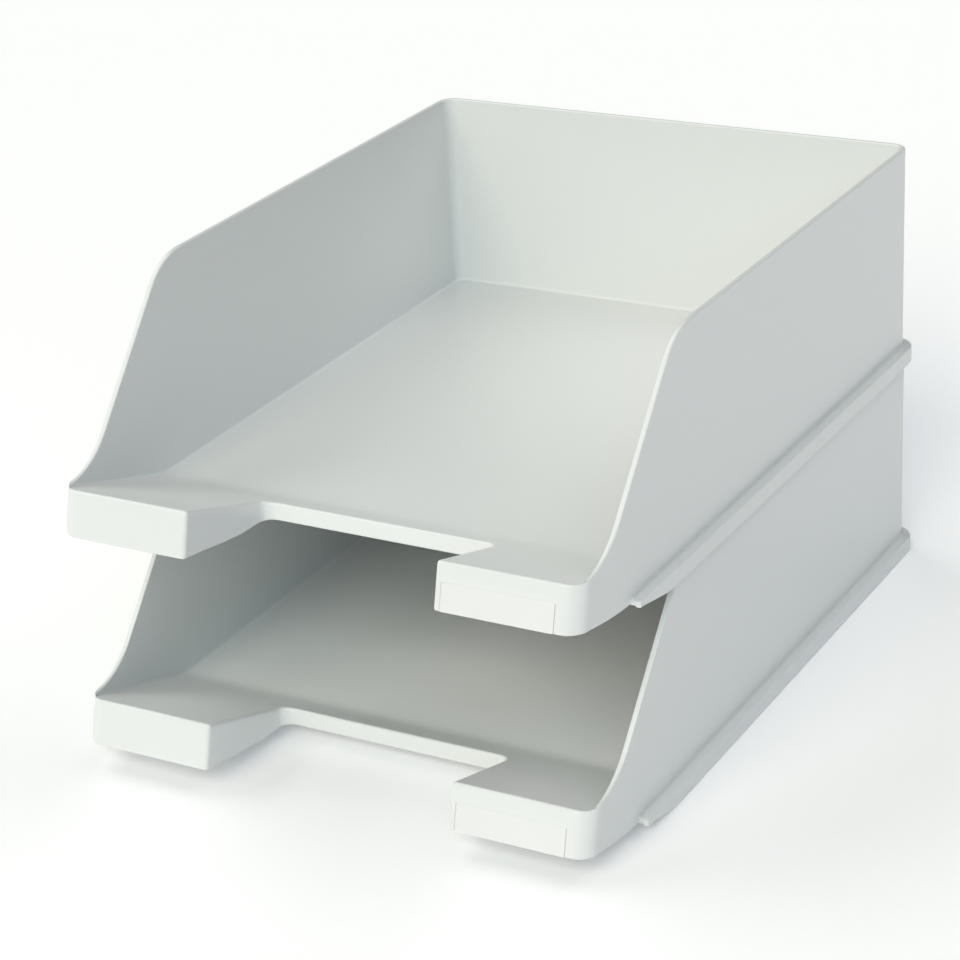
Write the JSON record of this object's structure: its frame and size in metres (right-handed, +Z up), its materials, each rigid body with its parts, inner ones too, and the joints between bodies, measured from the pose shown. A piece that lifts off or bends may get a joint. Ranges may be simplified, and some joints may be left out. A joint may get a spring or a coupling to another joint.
{
  "type": "letter tray",
  "caption": "Deep stacking letter trays with swept side walls, a front finger notch and a label strip; the upper tray lifts off the lower one.",
  "frame": {"origin": "middle of the footprint, on the desk under the lower tray's collar", "axes": "+Z up; the open front with the finger notch faces -Y; +X to the right seen from the front"},
  "size_m": [0.255, 0.347, 0.205],
  "materials": {
    "tray_plastic": "satin-gloss moulded polystyrene, light grey",
    "label_film": "smooth white film"
  },
  "bodies": {
    "lower": {"lower_tray": "tray_plastic", "lower_label": "label_film"},
    "upper": {"upper_tray": "tray_plastic", "upper_label": "label_film"}
  },
  "joints": [
    {"name": "upper_lift", "type": "slide", "parent": "lower", "child": "upper", "axis": [0, 0, 1], "range_m": [0, 0.11]}
  ]
}
